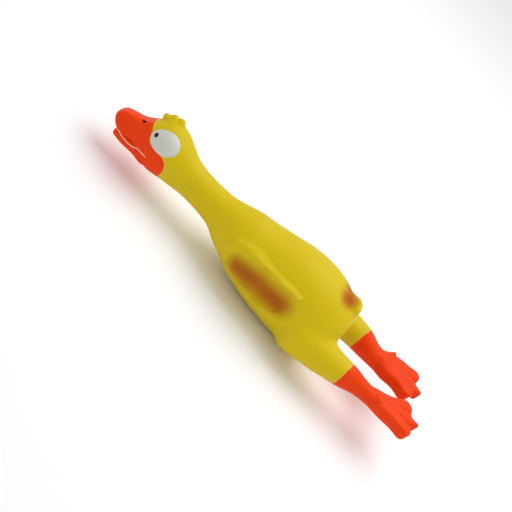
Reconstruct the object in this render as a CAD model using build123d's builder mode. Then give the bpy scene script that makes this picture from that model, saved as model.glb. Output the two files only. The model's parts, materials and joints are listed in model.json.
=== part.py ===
"""A squeaky rubber chicken: a hollow latex bird that lies on its belly, head towards -Y.

The latex body is cut where its paint changes and where it bends, so each zone is a piece of
its own. Every bend is a ball cut: the piece nearer the torso ends in a ball, and the next piece
has the matching hollow. The squeaker is a small plastic barrel with a reed, set in the belly.
Millimetres, +Z up, +X to the bird's left, origin under the middle of the belly's flat.
"""

import os
from math import copysign, cos, pi, radians, sin

from build123d import *

os.makedirs("parts", exist_ok=True)

# Driving dimensions
AXIS_Z = 33.0  # the body's long axis over the flat of the belly
WALL = 2.0  # latex thickness
GAP = 0.4  # running room at each ball cut and round each flank
FAR = 200.0  # larger than any piece, for cutting blocks

# Trunk, skull to rump: y, half width, half height, height of the middle over the axis
TRUNK = (
    (-139, 12.5, 13.5, 3.8),
    (-134, 15.8, 18.0, 4.2),
    (-128, 17.8, 21.0, 4.4),
    (-120, 18.5, 22.0, 4.3),
    (-113, 17.7, 21.0, 4.0),
    (-106, 16.0, 18.6, 2.7),
    (-98, 14.6, 16.2, 1.0),
    (-88, 13.6, 14.6, 0.7),
    (-78, 13.2, 13.9, 1.0),
    (-67, 13.5, 14.2, 1.2),
    (-57, 14.8, 15.4, 1.2),
    (-46, 18.4, 19.0, 0.8),
    (-34, 23.0, 23.6, 0.2),
    (-20, 27.0, 27.6, -0.4),
    (-4, 30.4, 31.0, -0.4),
    (14, 33.4, 34.6, 0.6),
    (32, 35.0, 36.4, 1.0),
    (48, 34.6, 36.2, 0.8),
    (59, 32.0, 34.4, 0.6),
    (67, 27.6, 30.6, 1.0),
    (72, 21.0, 24.6, 1.8),
    (74.8, 12.0, 14.6, 2.4),
)
# Left leg, root to toes: y, half width, half height, height over the axis, x
LEG = (
    (46, 7.0, 8.0, -6.8, 24.0),
    (50, 13.4, 13.8, -6.3, 23.4),
    (56, 17.6, 17.8, -5.6, 24.6),
    (66, 17.6, 17.8, -4.4, 26.8),
    (76, 16.0, 16.2, -3.0, 27.8),
    (86, 13.8, 14.0, -1.6, 27.4),
    (95, 12.0, 12.2, -0.6, 26.4),
    (103, 10.4, 10.6, 0.2, 25.2),
    (112, 9.0, 9.2, 0.9, 24.0),
    (122, 8.4, 8.4, 1.5, 23.2),
    (133, 8.6, 8.0, 2.4, 22.6),
    (142, 11.0, 6.4, 4.6, 22.0),
    (150, 12.0, 4.8, 6.0, 21.6),
)
# Bills, tip to face: y, half width, half height, height over the axis
UPPER_BILL = (
    (-165.0, 5.6, 3.6, -8.2),
    (-162.6, 7.8, 5.8, -7.4),
    (-156.5, 9.2, 7.4, -6.2),
    (-147.0, 9.8, 8.4, -3.4),
    (-141.0, 11.0, 9.8, -0.6),
    (-136.0, 12.4, 11.6, 1.6),
)
LOWER_BILL = (
    (-153.0, 6.0, 1.6, -14.2),
    (-150.5, 7.8, 2.4, -14.2),
    (-142.0, 9.6, 3.0, -14.0),
    (-134.0, 11.4, 3.4, -13.6),
)
BILL_SQUARENESS = 3.4  # 2 is an ellipse, more is squarer

# Bends: the centre of each ball and its radius
NECK_BASE = (0.0, -52.0, 0.9)
NECK_BASE_R = 18.0
NECK_MIDDLE = (0.0, -74.0, 1.1)
NECK_MIDDLE_R = 15.4
HEAD_BEND = (0.0, -97.0, 0.9)
HEAD_BEND_R = 18.0
HIP = (27.5, 83.0, -2.0)
HIP_R = 16.4
KNEE = (26.1, 97.0, -0.4)
KNEE_R = 13.0
ANKLE = (22.7, 131.0, 2.2)
ANKLE_R = 9.6

# Paint lines on the head, over the axis
CHEEK_Z = 6.0
MOUTH_Z = -11.2
CHEEK_BACK_Y = -107.0

EYE = (15.6, -123.4, 17.6)
EYE_NORMAL = (0.80, -0.06, 0.60)
EYE_LENGTH, EYE_HEIGHT = 24.0, 21.4
EYE_DOME_RADIUS = 15.0
EYE_DOME_DEPTH = 10.0  # from the eye's centre in to the middle of its dome
PUPIL_TILT = 38.0  # degrees, from the dome's crown forward to the pupil
PUPIL_RADIUS = 2.0
PUPIL_DEPTH = 1.6
PUPIL_PROUD = 0.4
CREST = ((-137.4, 23.4, 4.0), (-132.6, 27.0, 4.8), (-127.4, 29.4, 5.2), (-121.6, 29.0, 4.4))
NOSTRIL = (3.6, -144.0)
NOSTRIL_LENGTH = 3.4
NOSTRIL_WIDTH = 1.5

FLANK_Y, FLANK_Z = 3.0, 1.5
FLANK_LENGTH, FLANK_HEIGHT = 88.0, 48.0
FLANK_TILT = 8.0  # degrees, tail end up
WING_RAISE = 2.2
# Wing outline from the shoulder round the tip: y, height over the axis
WING = ((-31, 0), (-26, 10), (-10, 18), (12, 18.5), (38, 16), (35, 4), (26, -14), (8, -17), (-16, -14))

TAIL_LOBES = ((-3.4, 66.0, 33.0, 5.0), (3.4, 66.0, 33.0, 5.0), (0.0, 70.0, 33.5, 5.6))

FOOT_BOTTOM, FOOT_TOP = 1.4, 10.6
# Left foot's outline, toes and web: x, y
WEB = (
    (14.6, 134),
    (9.4, 143),
    (6.4, 153),
    (9.2, 158.4),
    (14.0, 156.4),
    (18.4, 164.2),
    (23.0, 165.0),
    (26.8, 162.4),
    (29.4, 158.8),
    (34.0, 162.6),
    (37.0, 159.0),
    (35.4, 149),
    (31.4, 139),
    (29.0, 132),
)

SQUEAKER_Y = 36.0
BARREL_RADIUS = 9.0
BARREL_HEIGHT = 17.0
BARREL_WALL = 1.4
FLANGE_RADIUS = 12.0
FLANGE_THICKNESS = 1.4
BOSS_RADIUS = 14.5
BOSS_HEIGHT = 6.0
RECESS = 0.4  # the flange sits this far inside the belly's flat
GRILLE_HOLE_RADIUS = 1.2
GRILLE_RING_RADIUS = 4.4
SEAT_Z, SEAT_HEIGHT = 10.0, 3.0
REED_LENGTH, REED_WIDTH, REED_THICKNESS = 6.8, 4.0, 0.3
SLOT_LENGTH, SLOT_WIDTH = 7.0, 3.0
CLAMP_LENGTH, CLAMP_HEIGHT = 3.0, 2.3
CLAMP_Y = SQUEAKER_Y - 5.0  # the clamp's far end
REED_GAP = 0.2


def oval(half_width, half_height, middle_z, x, squareness=2.0, points=12):
    """Points of a closed oval in the XZ plane, from an ellipse to a rounded box."""
    power = 2.0 / squareness
    outline = []
    for step in range(points):
        across, up = cos(2 * pi * step / points), sin(2 * pi * step / points)
        outline.append(
            (
                x + half_width * copysign(abs(across) ** power, across),
                middle_z + half_height * copysign(abs(up) ** power, up),
            )
        )
    return outline


def tube(stations, grow=0.0, squareness=2.0):
    """Loft through ovals across Y, each grown by the same amount."""
    with BuildPart() as body:
        for y, half_width, half_height, rise, *x in stations:
            with BuildSketch(Plane.XZ.offset(-y)):
                with BuildLine():
                    Spline(
                        *oval(
                            half_width + grow,
                            half_height + grow,
                            AXIS_Z + rise,
                            x[0] if x else 0.0,
                            squareness,
                        ),
                        periodic=True,
                    )
                make_face()
        loft()
    return body.part


def ball(centre, radius, side=1):
    """A ball whose centre is given over the body's axis."""
    with BuildPart() as round_body:
        with Locations((side * centre[0], centre[1], AXIS_Z + centre[2])):
            Sphere(radius)
    return round_body.part


def block(y_low, y_high, z_low=-FAR, z_high=FAR):
    """A cutting block between two heights over the axis and two places along the body."""
    with BuildPart() as cutter:
        with Locations((0, (y_low + y_high) / 2, AXIS_Z + (z_low + z_high) / 2)):
            Box(2 * FAR, y_high - y_low, z_high - z_low)
    return cutter.part


def mirrored(piece):
    """The same piece on the bird's right."""
    with BuildPart() as other:
        mirror(piece, about=Plane.YZ)
    return other.part


def write(piece, name):
    """Label one piece and write its file."""
    piece.label = name
    export_step(piece, f"parts/{name}.step")


# The skin: outer form and cavity of the trunk and of both legs
trunk_outer = tube(TRUNK)
left_leg = tube(LEG)
left_leg_cavity = tube(LEG[:-2], -WALL)
right_leg = mirrored(left_leg)
right_leg_cavity = mirrored(left_leg_cavity)
above_belly = block(-FAR, FAR, -AXIS_Z, FAR)
with BuildPart() as trunk_hollow:
    add(tube(((TRUNK[0][0] + WALL, *TRUNK[0][1:]), *TRUNK[1:-1]), -WALL))
    add(block(-FAR, FAR, WALL - AXIS_Z, FAR), mode=Mode.INTERSECT)
trunk_cavity = trunk_hollow.part


# What bounds each length of the trunk and of the legs: a block, with a ball at the far bend
def room(cutter, *balls):
    """One cutting body made of a block and balls."""
    with BuildPart() as whole:
        add(cutter)
        for piece in balls:
            add(piece)
    return whole.part


def between(outer, cavity, kept, *cut):
    """The part of a skin inside one cutting body and outside others."""
    with BuildPart() as skin:
        add(outer)
        add(cavity, mode=Mode.SUBTRACT)
        add(kept, mode=Mode.INTERSECT)
        for piece in cut:
            add(piece, mode=Mode.SUBTRACT)
    return skin.part


# Flanks: the two oval walls that a squeezing hand pushes in
def flank_prism(extra):
    """The oval, seen from the side, that a flank fills, with extra room all round."""
    with BuildPart() as prism:
        with BuildSketch(Plane.YZ):
            with Locations((FLANK_Y, AXIS_Z + FLANK_Z)):
                Ellipse(FLANK_LENGTH / 2 + extra, FLANK_HEIGHT / 2 + extra, rotation=FLANK_TILT)
        extrude(amount=FAR)
    return prism.part


flank_opening = flank_prism(GAP)

with BuildPart() as flank_left:
    add(trunk_outer)
    add(trunk_cavity, mode=Mode.SUBTRACT)
    add(flank_prism(0), mode=Mode.INTERSECT)

# Wings: raised pads on the flanks, pointed towards the tail
with BuildPart() as wing_left:
    with BuildSketch(Plane.YZ):
        with BuildLine():
            Spline(*[(y, AXIS_Z + rise) for y, rise in WING], periodic=True)
        make_face()
    extrude(amount=FAR)
    add(tube(TRUNK, WING_RAISE), mode=Mode.INTERSECT)
    add(trunk_outer, mode=Mode.SUBTRACT)

# Torso: body and leg roots, with a boss inside the belly for the squeaker
torso_room = room(
    block(NECK_BASE[1], HIP[1]),
    ball(NECK_BASE, NECK_BASE_R),
    ball(HIP, HIP_R),
    ball(HIP, HIP_R, -1),
)
with BuildPart() as torso_shell:
    add(trunk_outer)
    add(left_leg)
    add(right_leg)
    add(trunk_cavity, mode=Mode.SUBTRACT)
    add(left_leg_cavity, mode=Mode.SUBTRACT)
    add(right_leg_cavity, mode=Mode.SUBTRACT)
    with Locations((0, SQUEAKER_Y, 0)):
        Cylinder(BOSS_RADIUS, BOSS_HEIGHT, align=(Align.CENTER, Align.CENTER, Align.MIN))
    add(above_belly, mode=Mode.INTERSECT)
    add(torso_room, mode=Mode.INTERSECT)
    add(flank_opening, mode=Mode.SUBTRACT)
    add(mirrored(flank_opening), mode=Mode.SUBTRACT)
    with Locations((0, SQUEAKER_Y, 0)):
        Cylinder(BARREL_RADIUS, 2 * BOSS_HEIGHT, mode=Mode.SUBTRACT)
        Cylinder(FLANGE_RADIUS, 2 * (RECESS + FLANGE_THICKNESS), mode=Mode.SUBTRACT)

# Tail: a short pinched tuft on the rump
with BuildPart() as tail:
    for x, y, rise, radius in TAIL_LOBES:
        with Locations((x, y, AXIS_Z + rise)):
            Sphere(radius)
    add(trunk_outer, mode=Mode.SUBTRACT)

# Neck: two lengths of tube between three bends
neck_lower = between(
    trunk_outer,
    trunk_cavity,
    room(block(NECK_MIDDLE[1], NECK_BASE[1]), ball(NECK_MIDDLE, NECK_MIDDLE_R)),
    ball(NECK_BASE, NECK_BASE_R + GAP),
)
neck_upper = between(
    trunk_outer,
    trunk_cavity,
    room(block(HEAD_BEND[1], NECK_MIDDLE[1]), ball(HEAD_BEND, HEAD_BEND_R)),
    ball(NECK_MIDDLE, NECK_MIDDLE_R + GAP),
)

# Head: a hollow skull, cut along the paint line of the cheeks and of the mouth
upper_bill_outer = tube(UPPER_BILL, 0, BILL_SQUARENESS)
upper_bill_cavity = tube(UPPER_BILL[2:], -WALL, BILL_SQUARENESS)
lower_bill_outer = tube(LOWER_BILL, 0, BILL_SQUARENESS)
skull_front = TRUNK[0][0]
cheek_zone = block(skull_front, CHEEK_BACK_Y, MOUTH_Z, CHEEK_Z)
jaw_zone = block(skull_front, CHEEK_BACK_Y, -FAR, MOUTH_Z)
head_ball = ball(HEAD_BEND, HEAD_BEND_R + GAP)

with BuildPart() as head_shell:
    add(trunk_outer)
    add(trunk_cavity, mode=Mode.SUBTRACT)
    add(block(skull_front, HEAD_BEND[1]), mode=Mode.INTERSECT)
    add(head_ball, mode=Mode.SUBTRACT)
    add(upper_bill_cavity, mode=Mode.SUBTRACT)
    add(upper_bill_outer, mode=Mode.SUBTRACT)
    add(cheek_zone, mode=Mode.SUBTRACT)
    add(jaw_zone, mode=Mode.SUBTRACT)

with BuildPart() as bill_upper:
    add(trunk_outer)
    add(cheek_zone, mode=Mode.INTERSECT)
    add(upper_bill_outer)
    add(trunk_cavity, mode=Mode.SUBTRACT)
    add(upper_bill_cavity, mode=Mode.SUBTRACT)
    add(lower_bill_outer, mode=Mode.SUBTRACT)
    add(head_ball, mode=Mode.SUBTRACT)
    with Locations(
        (NOSTRIL[0], NOSTRIL[1], AXIS_Z + CHEEK_Z), (-NOSTRIL[0], NOSTRIL[1], AXIS_Z + CHEEK_Z)
    ):
        Box(NOSTRIL_WIDTH, NOSTRIL_LENGTH, 2 * WALL, mode=Mode.SUBTRACT)

with BuildPart() as bill_lower:
    add(trunk_outer)
    add(trunk_cavity, mode=Mode.SUBTRACT)
    add(jaw_zone, mode=Mode.INTERSECT)
    add(lower_bill_outer)
    add(upper_bill_outer, mode=Mode.SUBTRACT)
    add(trunk_cavity, mode=Mode.SUBTRACT)
    add(upper_bill_cavity, mode=Mode.SUBTRACT)
    add(head_ball, mode=Mode.SUBTRACT)

# Crest: four soft lobes in a row over the forehead
with BuildPart() as crest:
    for y, rise, radius in CREST:
        with Locations((0, y, AXIS_Z + rise)):
            Sphere(radius)
    add(trunk_outer, mode=Mode.SUBTRACT)

# Eyes: shallow domes, each with a small round pupil let in near its front edge
eye_plane = Plane(
    origin=(EYE[0], EYE[1], AXIS_Z + EYE[2]), x_dir=(0, 1, 0), z_dir=Vector(EYE_NORMAL)
)
dome_centre = eye_plane.origin - eye_plane.z_dir * EYE_DOME_DEPTH
pupil_way = eye_plane.z_dir * cos(radians(PUPIL_TILT)) - eye_plane.x_dir * sin(radians(PUPIL_TILT))
pupil_floor = Plane(
    origin=dome_centre + pupil_way * (EYE_DOME_RADIUS - PUPIL_DEPTH), z_dir=pupil_way
)

with BuildPart() as eye_left:
    with BuildSketch(eye_plane.offset(-EYE_DOME_DEPTH)):
        Ellipse(EYE_LENGTH / 2, EYE_HEIGHT / 2)
    extrude(amount=2 * EYE_DOME_RADIUS)
    with Locations(dome_centre):
        Sphere(EYE_DOME_RADIUS, mode=Mode.INTERSECT)
    add(trunk_outer, mode=Mode.SUBTRACT)
    add(upper_bill_outer, mode=Mode.SUBTRACT)
    with BuildSketch(pupil_floor):
        Circle(PUPIL_RADIUS)
    extrude(amount=PUPIL_DEPTH + 2 * PUPIL_PROUD, mode=Mode.SUBTRACT)

with BuildPart() as pupil_left:
    with BuildSketch(pupil_floor):
        Circle(PUPIL_RADIUS)
    extrude(amount=PUPIL_DEPTH + PUPIL_PROUD)

# Left leg: yellow thigh, orange shank, and the foot with its ankle
thigh_left = between(
    left_leg,
    left_leg_cavity,
    room(block(HIP[1], KNEE[1]), ball(KNEE, KNEE_R)),
    ball(HIP, HIP_R + GAP),
)
shank_left = between(
    left_leg,
    left_leg_cavity,
    room(block(KNEE[1], ANKLE[1]), ball(ANKLE, ANKLE_R)),
    ball(KNEE, KNEE_R + GAP),
)
with BuildPart() as foot_left:
    with BuildSketch(Plane.XY.offset(AXIS_Z + (FOOT_BOTTOM + FOOT_TOP) / 2)):
        with BuildLine():
            Spline(*WEB, periodic=True)
        make_face()
    extrude(amount=(FOOT_TOP - FOOT_BOTTOM) / 2, both=True)
    add(left_leg)
    add(block(ANKLE[1], FAR), mode=Mode.INTERSECT)
    add(ball(ANKLE, ANKLE_R + GAP), mode=Mode.SUBTRACT)

# Squeaker: a flanged barrel, a seat pressed inside it, and a clamp that holds the reed's root.
# The reed's free tongue starts just ahead of the clamp and lies over the seat's slot.
with BuildPart() as squeaker_barrel:
    with Locations((0, SQUEAKER_Y, RECESS)):
        Cylinder(FLANGE_RADIUS, FLANGE_THICKNESS, align=(Align.CENTER, Align.CENTER, Align.MIN))
        Cylinder(BARREL_RADIUS, BARREL_HEIGHT, align=(Align.CENTER, Align.CENTER, Align.MIN))
    with Locations((0, SQUEAKER_Y, RECESS + FLANGE_THICKNESS)):
        Cylinder(
            BARREL_RADIUS - BARREL_WALL,
            BARREL_HEIGHT,
            align=(Align.CENTER, Align.CENTER, Align.MIN),
            mode=Mode.SUBTRACT,
        )
    with Locations((0, SQUEAKER_Y, 0)):
        with PolarLocations(GRILLE_RING_RADIUS, 6):
            Cylinder(GRILLE_HOLE_RADIUS, 4 * FLANGE_THICKNESS, mode=Mode.SUBTRACT)

with BuildPart() as reed_seat:
    with Locations((0, SQUEAKER_Y, SEAT_Z)):
        Cylinder(
            BARREL_RADIUS - BARREL_WALL, SEAT_HEIGHT, align=(Align.CENTER, Align.CENTER, Align.MIN)
        )
    with Locations((0, SQUEAKER_Y, SEAT_Z)):
        Box(SLOT_WIDTH, SLOT_LENGTH, 4 * SEAT_HEIGHT, mode=Mode.SUBTRACT)

reed_z = SEAT_Z + SEAT_HEIGHT
with BuildPart() as squeaker_reed:
    with Locations((0, CLAMP_Y + CLAMP_LENGTH + REED_GAP, reed_z)):
        Box(
            REED_WIDTH,
            REED_LENGTH,
            REED_THICKNESS,
            align=(Align.CENTER, Align.MIN, Align.MIN),
        )

with BuildPart() as reed_clamp:
    with Locations((0, CLAMP_Y, reed_z)):
        Box(
            2 * REED_WIDTH,
            CLAMP_LENGTH,
            CLAMP_HEIGHT,
            align=(Align.CENTER, Align.MIN, Align.MIN),
        )

MIDDLE_PIECES = {
    "torso_shell": torso_shell.part,
    "tail": tail.part,
    "neck_lower": neck_lower,
    "neck_upper": neck_upper,
    "head_shell": head_shell.part,
    "crest": crest.part,
    "bill_upper": bill_upper.part,
    "bill_lower": bill_lower.part,
    "squeaker_barrel": squeaker_barrel.part,
    "reed_seat": reed_seat.part,
    "reed_clamp": reed_clamp.part,
    "squeaker_reed": squeaker_reed.part,
}
LEFT_PIECES = {
    "flank": flank_left.part,
    "wing": wing_left.part,
    "eye": eye_left.part,
    "pupil": pupil_left.part,
    "thigh": thigh_left,
    "shank": shank_left,
    "foot": foot_left.part,
}
for name, piece in MIDDLE_PIECES.items():
    write(piece, name)
for name, piece in LEFT_PIECES.items():
    write(piece, f"{name}_left")
    write(mirrored(piece), f"{name}_right")
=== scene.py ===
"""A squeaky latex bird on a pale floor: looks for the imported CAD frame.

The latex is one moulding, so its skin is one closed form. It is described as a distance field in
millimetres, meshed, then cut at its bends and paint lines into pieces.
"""

import json
import math

import bmesh
import bpy
import numpy as np
from mathutils import Matrix, Vector


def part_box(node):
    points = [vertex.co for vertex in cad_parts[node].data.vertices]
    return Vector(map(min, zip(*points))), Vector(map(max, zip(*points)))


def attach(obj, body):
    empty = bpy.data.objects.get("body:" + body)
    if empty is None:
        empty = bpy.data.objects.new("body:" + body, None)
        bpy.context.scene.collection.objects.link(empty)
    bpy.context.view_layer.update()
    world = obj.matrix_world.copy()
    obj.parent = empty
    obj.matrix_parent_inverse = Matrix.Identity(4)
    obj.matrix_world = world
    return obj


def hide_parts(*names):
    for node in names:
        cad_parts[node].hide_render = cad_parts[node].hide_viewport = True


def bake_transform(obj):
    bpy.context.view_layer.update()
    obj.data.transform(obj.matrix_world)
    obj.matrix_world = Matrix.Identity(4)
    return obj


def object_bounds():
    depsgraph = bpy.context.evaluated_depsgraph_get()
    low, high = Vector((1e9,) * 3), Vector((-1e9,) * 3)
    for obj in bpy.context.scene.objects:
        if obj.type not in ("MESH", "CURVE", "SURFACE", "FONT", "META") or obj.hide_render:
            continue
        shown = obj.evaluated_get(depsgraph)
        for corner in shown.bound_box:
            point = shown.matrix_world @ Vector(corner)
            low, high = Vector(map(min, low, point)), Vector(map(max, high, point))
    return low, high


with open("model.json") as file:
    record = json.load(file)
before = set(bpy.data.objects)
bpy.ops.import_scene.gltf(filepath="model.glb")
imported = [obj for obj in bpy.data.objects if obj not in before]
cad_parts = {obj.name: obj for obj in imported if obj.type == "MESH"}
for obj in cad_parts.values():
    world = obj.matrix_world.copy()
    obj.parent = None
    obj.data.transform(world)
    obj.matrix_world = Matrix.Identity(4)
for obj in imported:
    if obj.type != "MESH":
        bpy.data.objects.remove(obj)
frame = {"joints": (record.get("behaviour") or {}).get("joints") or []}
cad_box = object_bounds()

MM = 0.001
JOINTS = {joint["name"]: joint for joint in frame["joints"]}
PIVOT_RISE = 0.9  # the neck's first pivot over the trunk's middle
AXIS = JOINTS["neck_base"]["pos_m"][2] / MM - PIVOT_RISE  # the trunk's middle over the floor

# ------------------------------------------------------------------ shape, in millimetres
# Heights are over the trunk's middle; x is the distance to the left of it.
CELL = 0.7  # meshing step
# How far the grid goes past the CAD's box: at the sides and over it, at the bill, at the toes, below
GRID_PAST, GRID_BILL, GRID_TOES, GRID_BELOW = 3, 5, 6, 2.0
SETTLE_TURNS, EVEN_TURNS, EVEN_SHARE = 5, 3, 0.6  # moves onto the surface, and along it

# How softly each form runs into the next
FILLET = {
    "bill_back": 8.0,
    "upper_bill": 5.0,
    "lower_bill": 1.6,
    "mouth_end": 1.0,
    "mouth_edge": 0.8,
    "nostril": 0.8,
    "crest_lobes": 1.2,
    "crest": 2.4,
    "tail_lobes": 2.0,
    "tail": 4.0,
    "leg_root": 8.0,
    "leg_end": 4.0,
    "foot_on_leg": 4.0,
    "leg_on_rump": 5.0,
    "toes": 10.5,
    "foot_edge": 3.2,
    "spur_lobes": 4.0,
    "spur": 3.0,
    "belly_flat": 1.2,
    "recess_top": 0.5,
    "recess_rim": 0.8,
}

# Trunk: y, half width, half height, height of the middle
TRUNK = np.array(
    [
        (-142, 12.0, 12.6, 3.2),
        (-134, 15.6, 17.6, 3.9),
        (-128, 17.6, 20.8, 4.2),
        (-120, 18.3, 22.0, 2.9),
        (-113, 17.3, 20.6, 2.6),
        (-106, 15.9, 18.3, 1.9),
        (-98, 14.4, 16.0, 1.0),
        (-88, 13.2, 14.2, 0.9),
        (-78, 12.9, 13.8, 1.1),
        (-67, 13.4, 14.2, 1.3),
        (-57, 14.8, 15.4, 1.3),
        (-46, 18.6, 19.5, 0.6),
        (-34, 23.0, 23.8, 0.4),
        (-20, 27.2, 27.5, -0.6),
        (-4, 30.6, 31.2, -0.1),
        (14, 33.2, 35.0, 1.5),
        (32, 34.6, 36.4, 2.1),
        (48, 34.4, 35.8, 1.3),
        (59, 32.4, 33.6, 0.4),
        (68, 30.0, 31.4, 0.6),
        (76, 27.0, 29.0, 1.4),
    ],
    float,
)
SKULL_FRONT, SKULL_ROUND = -140.0, 10.0
RUMP_BACK, RUMP_ROUND = 75.0, 15.0

# Leg: y, half width, half height, height of the middle, x of the middle
LEG = np.array(
    [
        (36, 14.4, 14.4, -7.6, 21.0),
        (44, 17.5, 17.5, -7.0, 22.8),
        (51, 17.5, 17.8, -6.1, 24.2),
        (59, 16.7, 16.9, -5.1, 25.4),
        (67, 15.2, 15.4, -4.0, 26.4),
        (76, 13.9, 14.1, -3.0, 27.2),
        (86, 12.1, 12.3, -1.7, 27.3),
        (95, 11.1, 11.3, -0.7, 26.8),
        (103, 9.7, 9.9, 0.1, 25.8),
        (111, 8.0, 8.0, 0.8, 25.0),
        (120, 7.1, 7.0, 1.6, 24.8),
        (133, 9.0, 7.0, 3.6, 24.6),
        (142, 11.0, 6.0, 4.8, 23.4),
        (150, 12.0, 4.6, 6.0, 22.0),
    ],
    float,
)
LEG_ROOT, LEG_END = 38.0, 148.0

# Bills: y, half width, half height, height of the middle
UPPER_BILL = np.array(
    [
        (-164.5, 8.6, 7.0, -6.4),
        (-157, 9.6, 8.4, -5.0),
        (-147, 10.0, 9.7, -2.3),
        (-141, 11.0, 10.8, 0.4),
        (-134, 12.6, 12.6, 2.4),
        (-126, 13.0, 13.0, 3.0),
    ],
    float,
)
LOWER_BILL = np.array(
    [
        (-156.5, 7.4, 3.2, -14.8),
        (-146, 9.2, 3.4, -14.7),
        (-134, 11.4, 3.6, -13.0),
        (-122, 13.2, 5.4, -11.8),
    ],
    float,
)
UPPER_CORNER, LOWER_CORNER = 5.4, 2.6
UPPER_BACK, LOWER_BACK = -124.0, -120.0
# The upper bill's tip slants back by this share, from this height down
TIP_SLANT, TIP_SLANT_TOP, TIP_SLANT_SOFT = 0.9, -6.0, 1.5
# The line between the bills: y, height
MOUTH = np.array(
    [
        (-158, -12.8),
        (-153.8, -12.3),
        (-148.6, -13.3),
        (-142, -13.1),
        (-136.8, -11.7),
        (-134.1, -9.6),
        (-130.4, -8.8),
        (-126, -8.2),
    ],
    float,
)
# Its groove: half width, how far in it is reckoned, and its width over its depth
GAPE_HALF, GAPE_DEPTH, GAPE_SHARE = 0.3, 4.0, 0.9
# Crest lobes: y, height, radius
CREST = ((-136.2, 20.6, 3.1), (-131.4, 23.8, 3.5), (-126.0, 25.2, 3.7), (-130.6, 20.4, 5.4))
# Tail lobes: x, y, height, radius
TAIL = ((0.0, 59.5, 31.0, 7.0), (0.0, 63.2, 35.6, 3.6), (2.6, 66.6, 32.6, 3.7), (-2.6, 66.6, 32.6, 3.7))
# Nostril: x, y, height; its dent's radius; its width over its length
NOSTRIL, NOSTRIL_RADIUS, NOSTRIL_STRETCH = (7.0, -145.1, 7.4), 1.1, 0.6

# Wing outline on the flank, from the shoulder over the back: y, height
WING = (
    (-39.0, 0.0),
    (-38.2, 6.2),
    (-35.6, 10.4),
    (-27.4, 15.0),
    (-18.6, 17.4),
    (-9.4, 18.4),
    (-1.4, 18.2),
    (8.0, 20.0),
    (18.0, 21.4),
    (27.8, 21.4),
    (28.8, 18.4),
    (26.8, 11.0),
    (26.4, 2.0),
    (21.0, -8.0),
    (10.0, -13.4),
    (-4.0, -14.6),
    (-20.0, -14.0),
    (-32.4, -11.6),
    (-37.2, -6.0),
)
WING_RAISE = 2.7
WING_REACH = (8, 14)  # the wing fades out between these distances from the middle
FREE_FROM, FREE_TO = -20, 15  # from a rounded front edge to a thin back edge
EDGE_SOFT, EDGE_THINNER, EDGE_UP = 3.8, 1.6, (-8, 6)  # thinner at the back from one height to another
EDGE_STEP = (0.4, -1)  # the wing rises between these distances from its outline, in softnesses
WING_FLATTER, WING_FLATTER_Y = 0.3, (4, 28)  # its rear stands out less by this share
LINES_FADE = (0.5, -1.5)  # the lines below fade in between these distances from the outline
# Lines that stand out of the wing or are sunk in it: height, half width, the line's y and height
WING_LINES = (
    (0.7, 2.2, ((-4.0, 15.6), (7.0, 17.8), (17.2, 19.4), (27.6, 19.8))),  # upper feather
    # Rim round the shoulder
    (0.8, 2.2, ((-37.0, 0.0), (-36.0, 6.2), (-33.4, 9.8), (-27.0, 13.2), (-18.6, 14.8), (-9.4, 15.2))),
    (1.1, 1.1, ((-7.5, -8.9), (1.4, -8.2), (12.0, -6.7))),  # lower feather
    (0.9, 1.1, ((3.0, -12.4), (12.0, -10.4), (20.0, -5.6), (25.0, 2.0))),  # last feather
    (-0.8, 1.1, ((-7.5, -11.1), (1.4, -10.4), (12.0, -8.9))),  # crease under the lower feather
    (-1.1, 1.2, ((-7.4, 14.0), (-1.0, 15.3), (4.4, 17.0))),  # crease under the upper feather
    (-1.8, 8.0, ((-24.0, -2.0), (0.0, 3.0), (22.0, 8.0))),  # dish along the middle
    (-0.35, 0.9, ((12.0, 5.0), (28.0, 11.6))),  # between the trailing feathers
    (-0.35, 0.9, ((11.0, -1.0), (26.0, 3.4))),
)
# Airbrushing: the line along the wing, and the place at the tail
WING_BRUSH = ((-20.0, -3.2), (1.0, 2.2), (20.5, 4.6))
WING_BRUSH_FADE, WING_BRUSH_POWER = (15.5, 1), 0.75  # mm from it to nothing and to full
WING_BRUSH_FRONT, WING_BRUSH_FRONT_Y = 0.84, (-28, -4)  # narrowed to this share at the front
WING_BRUSH_SIDE = (10, 18)  # it fades in between these distances from the middle
TAIL_BRUSH, TAIL_BRUSH_FADE = (4.8, 55.6, 35.2), (12.5, 2)

# Toes of the left foot: tip's x and y, radius at the root and at the tip
TOES = ((9.6, 152.2, 3.6, 6.7), (17.6, 165.9, 4.6, 2.4), (31.6, 158.6, 4.6, 5.3))
TOE_ROOT = (25.6, 128.0)
FOOT_HEIGHT, FOOT_HALF = 5.9, 5.4  # the middle's height, and half the thickness
FOOT_RISE, FOOT_LEVEL = 0.06, 150.0  # it rises by this share of y, and is at its height at this y
FOOT_THINNER, FOOT_FULL, FOOT_ROOT = 2.2, 143.0, 121.0  # how much thinner, from the full y to the root's
GROOVE_DEPTH, GROOVE_WIDTH = 1.2, 1.5
WEB_GROOVES = (((19.0, 144.0), (11.6, 158.0)), ((25.6, 144.0), (24.6, 161.0)))
# Spur lobes: x, y, height, radius
SPUR = ((27.6, 127.2, 7.2, 3.3), (31.2, 128.2, 10.0, 1.6))

# How the right leg differs from the left
RIGHT_SHARE = 0.895  # of the left's length, past the paint line
# Its stoutest part's x, y and reach along y, and the share by which it is stouter there
RIGHT_SHANK, RIGHT_SHANK_REACH, RIGHT_SWELL = (-25.0, 118.0), 17, 0.18
RIGHT_BOW, RIGHT_DROP = 3.2, 0.8  # how far the shank bows inwards and downwards
# Its web's root stands further in: most at this y, its reach along y, the x it fades over, and mm
RIGHT_WEB_Y, RIGHT_WEB_REACH, RIGHT_WEB_X, RIGHT_WEB = 131, 12, (-25, -16), 6.5
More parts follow.
